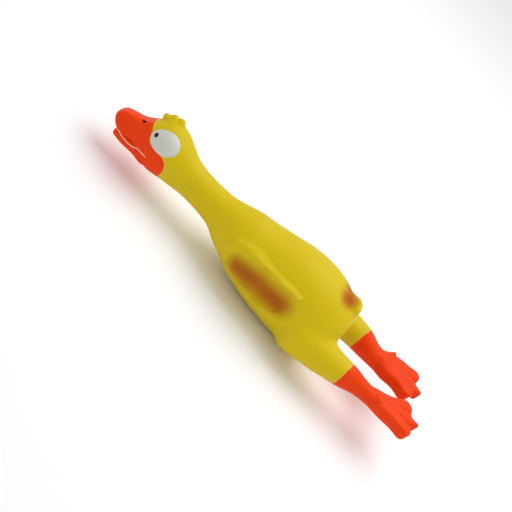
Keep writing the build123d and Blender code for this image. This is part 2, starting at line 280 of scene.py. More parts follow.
# Its toes are shorter by this share of how far outside x they are, and longer inside it, past the y's
RIGHT_SKEW, SKEW_X, SKEW_Y = 0.14, -20, (125, 150)

# Orange paint on the head, seen from the side: y, height
HEAD_PAINT = (
    (-140.6, 26.0),
    (-139.9, 13.4),
    (-138.3, 11.8),
    (-136.3, 10.0),
    (-134.9, 7.6),
    (-133.7, 5.4),
    (-131.5, 3.4),
    (-128.0, 2.4),
    (-122.5, 2.4),
    (-119.0, 2.5),
    (-116.0, 2.0),
    (-113.0, 0.5),
    (-110.8, -2.2),
    (-109.3, -6.0),
    (-108.9, -9.0),
    (-109.3, -12.0),
    (-111.0, -24.0),
)
# Orange paint on the legs: its y, and how its edge leans with height and wavers
LEG_PAINT, LEG_LEAN, LEG_WAVER = 96.4, 0.06, 0.3
# How the edge slants across each leg: y for each mm outwards, and where it crosses LEG_PAINT
LEFT_SLANT, RIGHT_SLANT = (-0.15, 20), (0.22, 25)

# Left eye: a point on the head, the way it faces, its half sizes, and its centre's depth
EYE = Vector((16.9, -123.3, 11.8))
EYE_NORMAL = Vector((0.925, -0.03, 0.38)).normalized()
EYE_TILT = 10.0  # degrees, rear end up
EYE_RADII = (12.0, 9.5, 5.5)
EYE_SINK = 2.2
EYE_TAPER = 0.08  # it is fuller towards the rear by this share
PUPIL, PUPIL_RADII = (-8.6, 0.8), (1.45, 1.95, 0.5)  # its place, back and up from the eye's middle

HEAD_ROLL = -12.0  # degrees about the trunk's axis, crown away from the left side
ROLL_FROM, ROLL_TO = -84.0, -112.0  # the stretch of neck that takes up the roll

# The recess in the belly that the squeaker's flange sits in
squeaker_lo, squeaker_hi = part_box("squeaker_barrel")
SQUEAKER_Y = (squeaker_lo.y + squeaker_hi.y) / 2 / MM
RECESS_GAP = 0.25
RECESS_RADIUS = (squeaker_hi.x - squeaker_lo.x) / 2 / MM + RECESS_GAP
RECESS_TOP = 1.9

# Where features lie along the body, so that each is worked out only there
FAR = 1000.0
HEAD_END, WING_FRONT, WING_BACK = -112.0, -44.0, 32.0
BANDS = ((-FAR, HEAD_END), (HEAD_END, WING_FRONT), (WING_FRONT, WING_BACK), (WING_BACK, FAR))


def smooth(low, high, value):
    """0 below low, 1 above high and an even S curve between, or downhill where low is the larger."""
    t = np.clip((value - low) / (high - low), 0, 1)
    return t * t * (3 - 2 * t)


def bump(distance, width):
    """1 at no distance, and soon 0 past the width."""
    return np.exp(-((distance / width) ** 2))


def rolled(points):
    """Turns the neck and head about the trunk's axis, by the angle at which the neck is twisted."""
    angle = math.radians(HEAD_ROLL) * smooth(ROLL_FROM, ROLL_TO, points[:, 1])
    x, up = points[:, 0], points[:, 2] - AXIS
    turned = points.copy()
    turned[:, 0] = x * np.cos(angle) + up * np.sin(angle)
    turned[:, 2] = AXIS + up * np.cos(angle) - x * np.sin(angle)
    return turned


def join(a, b, k):
    """Union of two fields with a fillet of about k."""
    h = np.clip(0.5 + 0.5 * (b - a) / k, 0, 1)
    return b + (a - b) * h - k * h * (1 - h)


def cut(a, b, k):
    """What both fields hold, with a rounded edge of about k."""
    return -join(-a, -b, k)


def follow(table, y):
    """A smooth curve through the table's rows, read at y: one array for each later column."""
    knots, values = table[:, 0], table[:, 1:]
    slope = np.gradient(values, knots, axis=0)
    y = np.clip(y, knots[0], knots[-1])
    i = np.clip(np.searchsorted(knots, y) - 1, 0, len(knots) - 2)
    step = knots[i + 1] - knots[i]
    t = (y - knots[i]) / step
    s = 1 - t
    start, turn_start = s * s * (1 + 2 * t), s * s * t * step
    end, turn_end = t * t * (3 - 2 * t), -t * t * s * step
    return [
        start * v[i] + end * v[i + 1] + turn_start * d[i] + turn_end * d[i + 1]
        for v, d in zip(values.T, slope.T)
    ]


def soft_excess(value, k):
    """The value where it is well over 0, and 0 where it is well under."""
    return (value + np.sqrt(value * value + k * k)) / 2


def oval_tube(x, up, half_width, half_height):
    """Distance to an elliptical tube whose middle is at the origin of x and up."""
    u, v = x / half_width, up / half_height
    k = np.sqrt(u * u + v * v) + 1e-6
    return k * (k - 1) / (np.sqrt((u / half_width) ** 2 + (v / half_height) ** 2) + 1e-6)


def box_tube(x, up, ahead, half_width, half_height, radius):
    """Distance to a tube with a rounded box section and a rounded front end."""
    p, q = np.abs(x) - half_width + radius, np.abs(up) - half_height + radius
    r = ahead + radius
    outside = np.sqrt(np.maximum(p, 0) ** 2 + np.maximum(q, 0) ** 2 + np.maximum(r, 0) ** 2)
    return outside + np.minimum(np.maximum(np.maximum(p, q), r), 0) - radius


def ball(x, y, up, centre, radius):
    return np.sqrt((x - centre[0]) ** 2 + (y - centre[1]) ** 2 + (up - centre[2]) ** 2) - radius


def to_segment(p, q, a, b):
    along = np.clip(
        ((p - a[0]) * (b[0] - a[0]) + (q - a[1]) * (b[1] - a[1]))
        / ((b[0] - a[0]) ** 2 + (b[1] - a[1]) ** 2),
        0,
        1,
    )
    return np.hypot(p - a[0] - along * (b[0] - a[0]), q - a[1] - along * (b[1] - a[1]))


def to_line(p, q, line):
    """Distance to an open line of points, in whichever plane p and q are."""
    return np.minimum.reduce([to_segment(p, q, a, b) for a, b in zip(line, line[1:])])


def to_outline(p, q, outline):
    """Signed distance to a closed outline, negative inside."""
    ring = [*outline, outline[0]]
    inside = np.zeros(np.broadcast(p, q).shape, bool)
    for a, b in zip(ring, ring[1:]):
        if a[1] != b[1]:
            crosses = (a[1] > q) != (b[1] > q)
            inside ^= crosses & (p < a[0] + (q - a[1]) / (b[1] - a[1]) * (b[0] - a[0]))
    return np.where(inside, -1, 1) * to_line(p, q, ring)


def rounded(outline, steps):
    """Points along a closed curve through the given ones."""
    points = np.array(outline)
    curve = []
    for i in range(len(points)):
        a, b, c, d = (points[(i + j) % len(points)] for j in (-1, 0, 1, 2))
        for t in np.arange(steps) / steps:
            cubic = (3 * b - a - 3 * c + d) * t**3
            curve.append((2 * b + (c - a) * t + (2 * a - 5 * b + 4 * c - d) * t**2 + cubic) / 2)
    return [tuple(point) for point in curve]


WING_OUTLINE = rounded(WING, 3)


def wing_relief(y, up):
    """How far the wing stands out of the flank, seen from the side."""
    edge = to_outline(y, up, WING_OUTLINE)
    free = smooth(FREE_FROM, FREE_TO, y)
    softness = EDGE_SOFT - EDGE_THINNER * free * smooth(*EDGE_UP, up)
    height = WING_RAISE * (1 - WING_FLATTER * smooth(*WING_FLATTER_Y, y))
    height = height * smooth(*EDGE_STEP, edge / softness)
    lines = sum(rise * bump(to_line(y, up, line), width) for rise, width, line in WING_LINES)
    return height + smooth(*LINES_FADE, edge) * lines


def foot_field(side, y, up):
    """The webbed foot: a flat plate with three toes, a web between them and a spur behind."""
    plan = FAR
    for tip_x, tip_y, root_radius, tip_radius in TOES:
        dx, dy = tip_x - TOE_ROOT[0], tip_y - TOE_ROOT[1]
        across, ahead = side - TOE_ROOT[0], y - TOE_ROOT[1]
        along = np.clip((across * dx + ahead * dy) / (dx * dx + dy * dy), 0, 1)
        toe = np.hypot(across - along * dx, ahead - along * dy)
        plan = join(
            plan, toe - root_radius - along * (tip_radius - root_radius), FILLET["toes"]
        )
    half = FOOT_HALF - FOOT_THINNER * smooth(FOOT_FULL, FOOT_ROOT, y)
    slab = np.abs(up - FOOT_HEIGHT - FOOT_RISE * (y - FOOT_LEVEL)) - half
    for line in WEB_GROOVES:
        slab = slab + GROOVE_DEPTH * bump(to_line(side, y, line), GROOVE_WIDTH)
    foot = cut(plan, slab, FILLET["foot_edge"])
    low, high = (ball(side, y, up, lobe[:3], lobe[3]) for lobe in SPUR)
    return join(foot, join(low, high, FILLET["spur_lobes"]), FILLET["spur"])


def nostril_distance(side, y, up):
    """Distance from a nostril's middle, counted short along the bill."""
    return np.sqrt(
        (side - NOSTRIL[0]) ** 2 + (NOSTRIL_STRETCH * (y - NOSTRIL[1])) ** 2 + (up - NOSTRIL[2]) ** 2
    )


def head_field(trunk, x, y, up):
    """Adds both bills, the line between them, the nostrils and the crest to the skull."""
    half_width, half_height, rise = follow(UPPER_BILL, y)
    front = UPPER_BILL[0, 0] + TIP_SLANT * soft_excess(TIP_SLANT_TOP - up, TIP_SLANT_SOFT)
    upper = box_tube(x, up - rise, front - y, half_width, half_height, UPPER_CORNER)
    upper = cut(upper, y - UPPER_BACK, FILLET["bill_back"])
    half_width, half_height, rise = follow(LOWER_BILL, y)
    lower = box_tube(x, up - rise, LOWER_BILL[0, 0] - y, half_width, half_height, LOWER_CORNER)
    lower = cut(lower, y - LOWER_BACK, FILLET["bill_back"])
    field = join(join(trunk, upper, FILLET["upper_bill"]), lower, FILLET["lower_bill"])
    (line,) = follow(MOUTH, y)
    gape = np.hypot(up - line, GAPE_SHARE * np.maximum(field, -GAPE_DEPTH)) - GAPE_HALF
    gape = cut(gape, y - MOUTH[-1, 0], FILLET["mouth_end"])
    field = cut(field, -gape, FILLET["mouth_edge"])
    crest = FAR
    for lobe_y, lobe_up, radius in CREST:
        crest = join(crest, ball(x, y, up, (0, lobe_y, lobe_up), radius), FILLET["crest_lobes"])
    field = join(field, crest, FILLET["crest"])
    return cut(field, NOSTRIL_RADIUS - nostril_distance(np.abs(x), y, up), FILLET["nostril"])


def skin(x, y, z, band):
    """The latex's outer surface in one band: below 0 inside, and about the distance to it."""
    up = z - AXIS
    half_width, half_height, rise = follow(TRUNK, y)
    field = oval_tube(x, up - rise, half_width, half_height)
    if band == 0:
        field = cut(field, SKULL_FRONT - y, SKULL_ROUND)
        field = head_field(field, x, y, up)
    if band == 2:
        field = field - smooth(*WING_REACH, np.abs(x)) * wing_relief(y, up)
    if band == 3:
        field = cut(field, y - RUMP_BACK, RUMP_ROUND)
        tail = FAR
        for lobe in TAIL:
            tail = join(tail, ball(x, y, up, lobe[:3], lobe[3]), FILLET["tail_lobes"])
        field = join(field, tail, FILLET["tail"])
        side = np.abs(x)
        half_width, half_height, rise, out = follow(LEG, y)
        leg = oval_tube(side - out, up - rise, half_width, half_height)
        leg = cut(cut(leg, LEG_ROOT - y, FILLET["leg_root"]), y - LEG_END, FILLET["leg_end"])
        leg = join(leg, foot_field(side, y, up), FILLET["foot_on_leg"])
        field = join(field, leg, FILLET["leg_on_rump"])
    if band >= 2:
        recess = np.hypot(x, y - SQUEAKER_Y) - RECESS_RADIUS
        field = cut(field, -z, FILLET["belly_flat"])
        recess = cut(recess, z - RECESS_TOP, FILLET["recess_top"])
        field = cut(field, -recess, FILLET["recess_rim"])
    return field


def skin_at(points):
    """The field at each of a list of points."""
    values = np.empty(len(points))
    for band, (low, high) in enumerate(BANDS):
        rows = np.flatnonzero((points[:, 1] >= low) & (points[:, 1] < high))
        if len(rows):
            values[rows] = skin(*points[rows].T, band)
    return values


def slope_at(points, step=0.12):
    """The field's slope at each point, from four points around it."""
    slope = np.zeros_like(points)
    for corner in ((1, -1, -1), (-1, -1, 1), (-1, 1, -1), (1, 1, 1)):
        corner = np.array(corner, float)
        slope += corner * skin_at(points + step * corner)[:, None]
    return slope / (4 * step)


def sample_grid():
    """The field on a grid over the bird's left half, with one column beyond the middle."""
    across = np.arange(-CELL / 2, cad_box[1].x / MM + GRID_PAST, CELL)
    along = np.arange(cad_box[0].y / MM - GRID_BILL, cad_box[1].y / MM + GRID_TOES, CELL)
    upward = np.arange(-GRID_BELOW, cad_box[1].z / MM + GRID_PAST, CELL)
    field = np.empty((len(across), len(along), len(upward)))
    for band, (low, high) in enumerate(BANDS):
        rows = np.flatnonzero((along >= low) & (along < high))
        field[:, rows] = skin(across[:, None, None], along[None, rows, None], upward, band)
    return field, np.array([across[0], along[0], upward[0]])


def mesh_half():
    """Surface nets over the grid: one point in each cell that the surface crosses."""
    field, origin = sample_grid()
    inside = field < 0
    shape = np.array(field.shape) - 1
    corners = np.array([(i, j, k) for i in (0, 1) for j in (0, 1) for k in (0, 1)])
    count = np.zeros(shape, np.int8)
    for i, j, k in corners:
        count += inside[i : i + shape[0], j : j + shape[1], k : k + shape[2]]
    cells = np.argwhere((count > 0) & (count < 8))
    number = np.full(shape, -1, np.int64)
    number[tuple(cells.T)] = np.arange(len(cells))
    total, hits = np.zeros((len(cells), 3)), np.zeros((len(cells), 1))
    for a in corners:
        for b in corners:
            if tuple(a) < tuple(b) and np.abs(a - b).sum() == 1:
                start, end = field[tuple((cells + a).T)], field[tuple((cells + b).T)]
                crossing = (start < 0) != (end < 0)
                share = start[crossing] / (start - end)[crossing]
                total[crossing] += a + share[:, None] * (b - a)
                hits[crossing] += 1
    points = origin + CELL * (cells + total / hits)

    faces = []
    for axis in range(3):
        u, v = (axis + 1) % 3, (axis + 2) % 3
        before = tuple(slice(None, -1) if i == axis else slice(None) for i in range(3))
        after = tuple(slice(1, None) if i == axis else slice(None) for i in range(3))
        edges = np.argwhere(inside[before] != inside[after])
        edges = edges[(edges[:, u] > 0) & (edges[:, v] > 0)]
        ring = []
        for du, dv in ((-1, -1), (0, -1), (0, 0), (-1, 0)):
            cell = edges.copy()
            cell[:, u] += du
            cell[:, v] += dv
            ring.append(number[tuple(cell.T)])
        quad = np.stack(ring, axis=1)
        leaving = inside[tuple(edges.T)]
        faces.append(np.where(leaving[:, None], quad, quad[:, ::-1]))
    return points, np.concatenate(faces), cells[:, 0] == 0


def settle(points, faces, middle):
    """Moves each point onto the surface, and evens out the mesh along it."""
    starts = np.concatenate([faces[:, i] for i in (0, 1, 2, 3, 0, 1, 2, 3)])
    ends = np.concatenate([faces[:, i] for i in (1, 2, 3, 0, 3, 0, 1, 2)])
    near = np.bincount(starts, minlength=len(points))[:, None]
    for turn in range(SETTLE_TURNS):
        slope = slope_at(points)
        length = np.linalg.norm(slope, axis=1, keepdims=True)
        points = points - np.clip(skin_at(points)[:, None] / length**2, -1, 1) * slope
        points[middle, 0] = 0
        if turn < EVEN_TURNS:
            mean = [np.bincount(starts, points[ends, i], len(points)) for i in range(3)]
            pull = np.stack(mean, axis=1) / near - points
            normal = slope / length
            along = pull - (pull * normal).sum(axis=1, keepdims=True) * normal
            points = points + EVEN_SHARE * along
            points[middle, 0] = 0
    normals = slope_at(points)
    normals[middle, 0] = 0
    return points, normals / np.linalg.norm(normals, axis=1, keepdims=True)


def mesh_skin():
    """The whole skin: the left half, and the same points on the right."""
    points, faces, middle = mesh_half()
    points, normals = settle(points, faces, middle)
    other = np.arange(len(points))
    other[~middle] = len(points) + np.arange((~middle).sum())
    flip = np.array([-1.0, 1.0, 1.0])
    points = np.concatenate([points, points[~middle] * flip])
    normals = np.concatenate([normals, normals[~middle] * flip])
    return points, normals, np.concatenate([faces, other[faces[:, ::-1]]])


def reshape_right_leg(points):
    """Makes the right leg differ from the left, as its moulding does."""
    x, y = points[:, 0], points[:, 1]
    right = x < 0
    swell = np.where(right, bump(y - RIGHT_SHANK[1], RIGHT_SHANK_REACH), 0)
    web = np.where(right, bump(y - RIGHT_WEB_Y, RIGHT_WEB_REACH) * smooth(*RIGHT_WEB_X, x), 0)
    past = np.where(right, np.maximum(y - LEG_PAINT, 0), 0)
    skew = np.where(right, (x - SKEW_X) * smooth(*SKEW_Y, y), 0)
    middle, across = np.array([RIGHT_SHANK[0], 0, AXIS + 1]), np.array([1, 0, 1])
    moved = points + RIGHT_SWELL * swell[:, None] * (points - middle) * across
    moved[:, 0] += RIGHT_BOW * swell + RIGHT_WEB * web
    moved[:, 1] += RIGHT_SKEW * skew - (1 - RIGHT_SHARE) * past
    moved[:, 2] -= RIGHT_DROP * swell
    return moved


points, normals, faces = mesh_skin()
points = reshape_right_leg(points)


# ------------------------------------------------------------------ paint, as numbers on the skin
def paint_numbers(points):
    """What the latex's paint is driven by: distances to its edges, and its airbrushed patches."""
    side, y, up = np.abs(points[:, 0]), points[:, 1], points[:, 2] - AXIS
    head_zone = [*HEAD_PAINT, (HEAD_PAINT[-1][0], -FAR), (-FAR, -FAR), (-FAR, HEAD_PAINT[0][1])]
    head = to_outline(y, up, head_zone)
    left, right = (share * (side - middle) for share, middle in (LEFT_SLANT, RIGHT_SLANT))
    slant = np.where(points[:, 0] > 0, left, right)
    leg = LEG_PAINT + slant - LEG_LEAN * up + LEG_WAVER * np.sin(side / 2 + 1) - y
    orange = np.where(y < 0, head, leg)
    spread = WING_BRUSH_FRONT + (1 - WING_BRUSH_FRONT) * smooth(*WING_BRUSH_FRONT_Y, y)
    brush = smooth(*WING_BRUSH_FADE, to_line(y, up, WING_BRUSH) / spread) ** WING_BRUSH_POWER
    brush = brush * smooth(*WING_BRUSH_SIDE, side)
    tail = smooth(*TAIL_BRUSH_FADE, ball(side, y, up, TAIL_BRUSH, 0))
    mouth = to_line(y, up, [tuple(row) for row in MOUTH])
    return {
        "orange": orange,
        "wing_brush": brush,
        "tail_brush": tail,
        "mouth": mouth,
        "nostril": nostril_distance(side, y, up),
    }


def eye_axes(sign):
    """Centre and axes of one eye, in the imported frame's millimetres."""
    normal = Vector((sign * EYE_NORMAL.x, EYE_NORMAL.y, EYE_NORMAL.z))
    level = (Vector((0, 1, 0)) - normal * normal.y).normalized()
    back = Matrix.Rotation(sign * math.radians(EYE_TILT), 3, normal) @ level
    top = normal.cross(back) * sign
    centre = Vector((sign * EYE.x, EYE.y, EYE.z + AXIS)) - normal * EYE_SINK
    return centre, back, top, normal


# ------------------------------------------------------------------ materials
def colour(red, green, blue):
    """Linear colour from the 0-255 values that a screen is sent."""
    return (*(((c / 255 + 0.055) / 1.055) ** 2.4 if c > 10 else c / 3295 for c in (red, green, blue)), 1)


YELLOW, YELLOW_DEEP = colour(212, 188, 16), colour(199, 170, 8)
ORANGE, ORANGE_DEEP = colour(238, 64, 1), colour(224, 47, 1)
BRUSH, TAIL_RED = colour(166, 76, 2), colour(176, 72, 10)
# The second colour is the pale line along the mouth groove: partly bare latex, partly a painted
# highlight
PINK, LIP_AND_HIGHLIGHT = colour(238, 196, 150), colour(252, 214, 190)
BLACK = colour(22, 18, 16)
# How much of its shade each layer gives
YELLOW_MOTTLE, ORANGE_MOTTLE, RIM_COVER, WING_COVER, TAIL_COVER = 0.25, 0.3, 0.25, 0.92, 0.9
# Noise, in features to the metre
MOTTLE_SCALE, SPECK_SCALE, BRUSH_SCALE = 38.0, 420.0, 50.0
# Gloss: roughness from and to, and its noise; grain: its noise, height in metres, strength
LATEX_GLOSS, LATEX_GRAIN = (0.36, 0.48, 90.0), (900.0, 0.00008, 0.35)
LATEX_SPECULAR, PLAIN_SPECULAR = 0.11, 0.25
PLAIN_GRAIN_HEIGHT, PLAIN_GRAIN = 0.00005, 0.3
# In millimetres: the orange's ragged edge, its pale rim, the pale line between the bills with its
# painted highlight, the nostril
EDGE_RAGGED, EDGE_SPREAD = 1.2, 0.3
RIM_START, RIM_FULL, RIM_END = 0.2, 0.5, 1.1
LIP_START, LIP_END = 0.15, 0.6
HOLE_START, HOLE_END = 1.1, 1.6


class Nodes:
    """A material's node tree, with short ways to add nodes and links."""

    def __init__(self, name):
        self.material = bpy.data.materials.new(name)
        self.material.use_nodes = True
        self.tree = self.material.node_tree
        self.shader = self.tree.nodes["Principled BSDF"]

    def add(self, kind, **settings):
        node = self.tree.nodes.new(kind)
        for name, value in settings.items():
            setattr(node, name, value)
        return node

    def link(self, output, socket):
        self.tree.links.new(output, socket)

    def number(self, name):
        return self.add("ShaderNodeAttribute", attribute_name=name).outputs["Fac"]

    def ramp(self, value, low, high, inverse=False):
        """0 to 1 as value goes from low to high, or the other way about."""
        node = self.add("ShaderNodeMapRange", interpolation_type="SMOOTHSTEP")
        self.link(value, node.inputs["Value"])
        node.inputs["From Min"].default_value = low
        node.inputs["From Max"].default_value = high
        node.inputs["To Min"].default_value = 1.0 if inverse else 0.0
        node.inputs["To Max"].default_value = 0.0 if inverse else 1.0
        return node.outputs["Result"]

    def times(self, value, factor, operation="MULTIPLY"):
        node = self.add("ShaderNodeMath", operation=operation)
        self.link(value, node.inputs[0])
        if isinstance(factor, float):
            node.inputs[1].default_value = factor
        else:
            self.link(factor, node.inputs[1])
        return node.outputs[0]

    def blend(self, below, above, amount):
        """One colour over another; each is a colour or a socket."""
        node = self.add("ShaderNodeMix", data_type="RGBA")
        self.link(amount, node.inputs[0])
        for socket, value in ((node.inputs[6], below), (node.inputs[7], above)):
            if isinstance(value, tuple):
                socket.default_value = value
            else:
                self.link(value, socket)
        return node.outputs[2]

    def noise(self, scale, detail=3.0):
        """Noise fixed to the object; scale is in features to the metre."""
        node = self.add("ShaderNodeTexNoise")
        node.inputs["Scale"].default_value = scale
        node.inputs["Detail"].default_value = detail
        self.link(self.place(), node.inputs["Vector"])
        return node.outputs["Fac"]

    def place(self):
        return self.add("ShaderNodeTexCoord").outputs["Object"]

    def rough(self, low, high, scale):
        """Roughness that wanders between two values."""
        node = self.add("ShaderNodeMapRange")
        self.link(self.noise(scale), node.inputs["Value"])
        node.inputs["From Min"].default_value, node.inputs["From Max"].default_value = 0.3, 0.7
        node.inputs["To Min"].default_value, node.inputs["To Max"].default_value = low, high
        self.link(node.outputs["Result"], self.shader.inputs["Roughness"])

    def grain(self, scale, height, strength=1.0):
        """A fine uneven surface, height in metres."""
        node = self.add("ShaderNodeBump")
        node.inputs["Strength"].default_value = strength
        node.inputs["Distance"].default_value = height
        self.link(self.noise(scale), node.inputs["Height"])
        self.link(node.outputs["Normal"], self.shader.inputs["Normal"])


def latex():
    """Satin latex: yellow moulding with orange dip paint and brown airbrushing."""
    made = Nodes("latex")
    mottle = made.ramp(made.noise(MOTTLE_SCALE), 0.35, 0.7)
    yellow = made.blend(YELLOW, YELLOW_DEEP, made.times(mottle, YELLOW_MOTTLE))
    orange = made.blend(ORANGE, ORANGE_DEEP, made.times(mottle, ORANGE_MOTTLE))
    speck = made.times(made.noise(SPECK_SCALE), 0.5, "SUBTRACT")
    edge = made.times(made.number("orange"), made.times(speck, EDGE_RAGGED), "ADD")
    paint = made.blend(yellow, orange, made.ramp(edge, -EDGE_SPREAD, EDGE_SPREAD, inverse=True))
    rim = made.times(
        made.ramp(edge, RIM_START, RIM_FULL), made.ramp(edge, RIM_FULL, RIM_END, inverse=True)
    )
    paint = made.blend(paint, PINK, made.times(rim, RIM_COVER))
    wing = made.times(made.number("wing_brush"), made.ramp(made.noise(BRUSH_SCALE), -0.7, 0.55))
    paint = made.blend(paint, BRUSH, made.times(wing, WING_COVER))
    paint = made.blend(paint, TAIL_RED, made.times(made.number("tail_brush"), TAIL_COVER))
    # Pale line along the mouth groove: partly bare latex, partly a painted highlight on it
    lip_and_highlight = made.ramp(made.number("mouth"), LIP_START, LIP_END, inverse=True)
    paint = made.blend(paint, LIP_AND_HIGHLIGHT, lip_and_highlight)
    hole = made.ramp(made.number("nostril"), HOLE_START, HOLE_END, inverse=True)
    paint = made.blend(paint, BLACK, hole)
    made.link(paint, made.shader.inputs["Base Color"])
    made.shader.inputs["Specular IOR Level"].default_value = LATEX_SPECULAR
    made.rough(*LATEX_GLOSS)
    made.grain(*LATEX_GRAIN)
    return made.material


def plain(name, base, deep, low, high, scale=300.0, metallic=0.0):
    """One colour with faint mottling, uneven gloss and a fine grain."""
    made = Nodes(name)
    shade = made.times(made.ramp(made.noise(scale / 4), 0.3, 0.75), 0.5)
    made.link(made.blend(base, deep, shade), made.shader.inputs["Base Color"])
    made.shader.inputs["Metallic"].default_value = metallic
    made.shader.inputs["Specular IOR Level"].default_value = PLAIN_SPECULAR
    made.rough(low, high, scale / 2)
    made.grain(scale * 3, PLAIN_GRAIN_HEIGHT, PLAIN_GRAIN)
    return made.material


LATEX = latex()
EYE_WHITE = plain("eye_white", colour(206, 207, 198), colour(190, 191, 180), 0.28, 0.4)
PUPIL_BLACK = plain("pupil_black", colour(8, 8, 9), colour(20, 19, 18), 0.35, 0.5)
PLASTIC = plain("squeaker_plastic", colour(226, 226, 220), colour(206, 204, 196), 0.4, 0.55)
BRASS = plain("reed_brass", colour(206, 170, 100), colour(180, 142, 76), 0.25, 0.4, 500.0, 1.0)


# ------------------------------------------------------------------ pieces of the skin
def build_piece(name, points, normals, faces, numbers, material):
    """A smooth mesh in metres, with its normals and numbers, of the faces given."""
    used, local = np.unique(faces, return_inverse=True)
    mesh = bpy.data.meshes.new(name)
    rows = [tuple(row) for row in local.reshape(-1, 4).tolist()]
    mesh.from_pydata((points[used] * MM).tolist(), [], rows)
    mesh.shade_smooth()
    for key, values in numbers.items():
        attribute = mesh.attributes.new(key, "FLOAT", "POINT")
        attribute.data.foreach_set("value", values[used].astype(np.float32))
    mesh.normals_split_custom_set_from_vertices(normals[used].tolist())
    mesh.materials.append(material)
    piece = bpy.data.objects.new(name, mesh)
    bpy.context.collection.objects.link(piece)
    return piece


# Where the skin is split along y, and the stretch of y at each joint
NECK_BASE, NECK_MIDDLE, HEAD_START = -42.0, -63.0, -85.5
WAIST, HIP, KNEE, SHIN, FOOT_START = 5.0, 77.5, 91.5, 104.5, 122.0
BENDS = {
    "neck_base": (-42.0, -62.0),
    "neck_sway": (-64.0, -84.0),
    "head_nod": (-87.0, -107.0),
    "hip": (77.5, 90.5),
    "knee": (91.5, 103.5),
    "ankle": (122.0, 142.0),
}
# A flank's halves: name, from which y to which, and the slant of a band across it
FLANK_HALVES = (("chest", NECK_BASE, WAIST, 0.2), ("rump", WAIST, HIP, -0.25))
SQUEEZE_FROM, SQUEEZE_TO = 26.0, 35.0  # two distances out along that slanted band, from the waist

numbers = paint_numbers(points)
normal_tips = rolled(points + normals)
points = rolled(points)
normals = normal_tips - points
face_middle = points[faces].mean(axis=1)
face_orange = numbers["orange"][faces].mean(axis=1) < 0


def bend(joint):
    """The two ends of the stretch of skin at a joint."""
    return [(0, y, 0) for y in BENDS[joint]]


def skin_piece(name, keep, bodies, start, end, slot, stands_for):
    """One piece of the skin, of the faces kept; its bodies, start and end are not used."""
    piece = build_piece(name, points, normals, faces[keep], numbers, LATEX)
    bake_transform(piece)
    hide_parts(*stands_for)


def along(low, high):
    return (face_middle[:, 1] >= low) & (face_middle[:, 1] < high)


skin_piece(
    "skull_skin", along(-FAR, HEAD_START) & ~face_orange, ("neck_upper", "head"),
    *bend("head_nod"), "latex_yellow", ("head_shell", "crest"),
)
skin_piece(
    "bill_skin", along(-FAR, HEAD_START) & face_orange, ("neck_upper", "head"),
    *bend("head_nod"), "latex_orange", ("bill_upper", "bill_lower"),
)
skin_piece(
    "upper_neck_skin", along(HEAD_START, NECK_MIDDLE), ("neck_lower", "neck_upper"),
    *bend("neck_sway"), "latex_yellow", ("neck_upper",),
)
skin_piece(
    "lower_neck_skin", along(NECK_MIDDLE, NECK_BASE), ("torso", "neck_lower"),
    *bend("neck_base"), "latex_yellow", ("neck_lower",),
)
for side, sign in (("left", 1), ("right", -1)):
    this_side = face_middle[:, 0] * sign > 0
    # Each side's flank is cut at the waist into chest and rump
    for part, low, high, slant in FLANK_HALVES:
        across = Vector((sign, slant, 0))
        middle = Vector((0, WAIST, 0))
        skin_piece(
            f"{part}_skin_{side}", this_side & along(low, high), ("torso", f"flank_{side}"),
            middle + across * (SQUEEZE_FROM / across.length_squared),
            middle + across * (SQUEEZE_TO / across.length_squared),
            "latex_yellow",
            (f"flank_{side}", f"wing_{side}") if part == "chest" else ("torso_shell", "tail"),
        )
    skin_piece(
        f"thigh_skin_{side}", this_side & along(HIP, KNEE), ("torso", f"thigh_{side}"),
        *bend("hip"), "latex_yellow", (f"thigh_{side}",),
    )
    bodies = (f"thigh_{side}", f"shank_{side}")
    skin_piece(
        f"knee_skin_{side}", this_side & along(KNEE, SHIN) & ~face_orange, bodies,
        *bend("knee"), "latex_yellow", (f"thigh_{side}",),
    )
    skin_piece(
        f"stocking_skin_{side}", this_side & along(KNEE, SHIN) & face_orange, bodies,
        *bend("knee"), "latex_orange", (f"shank_{side}",),
    )
    bodies = (f"shank_{side}", f"foot_{side}")
    skin_piece(
        f"shank_skin_{side}", this_side & along(SHIN, FOOT_START), bodies,
        *bend("ankle"), "latex_orange", (f"shank_{side}",),
    )
    skin_piece(
        f"foot_skin_{side}", this_side & along(FOOT_START, FAR), bodies,
        *bend("ankle"), "latex_orange", (f"foot_{side}",),
    )


# ------------------------------------------------------------------ eyes
def egg(name, centre, axes, radii, material, rings=40, segments=72, taper=0.0):
    """A closed ellipsoid on three axes, fuller towards its first axis by taper."""
    places, quads = [], []
    for ring in range(rings + 1):
        angle = math.pi * ring / rings
        for segment in range(segments):
            turn = 2 * math.pi * segment / segments
            u = math.sin(angle) * math.cos(turn)
            v = math.sin(angle) * math.sin(turn) * (1 + taper * u)
            local = (u * radii[0], v * radii[1], math.cos(angle) * radii[2])
            places.append(centre + sum((axis * size for axis, size in zip(axes, local)), Vector()))
    for ring in range(rings):
        for segment in range(segments):
            following = (segment + 1) % segments
            a, b = ring * segments, (ring + 1) * segments
            quads.append((a + segment, b + segment, b + following, a + following))
    mesh = bpy.data.meshes.new(name)
    mesh.from_pydata((rolled(np.array(places)) * MM).tolist(), [], quads)
    mesh.shade_smooth()
    mesh.materials.append(material)
    made = bpy.data.objects.new(name, mesh)
    bpy.context.collection.objects.link(made)
    weld(made)
    return made


def weld(piece):
    """Joins the points that meet at an egg's two ends, and turns every face outwards."""
    bm = bmesh.new()
    bm.from_mesh(piece.data)
    bmesh.ops.remove_doubles(bm, verts=bm.verts, dist=1e-6)
    bmesh.ops.recalc_face_normals(bm, faces=bm.faces)
    bm.to_mesh(piece.data)
    bm.free()


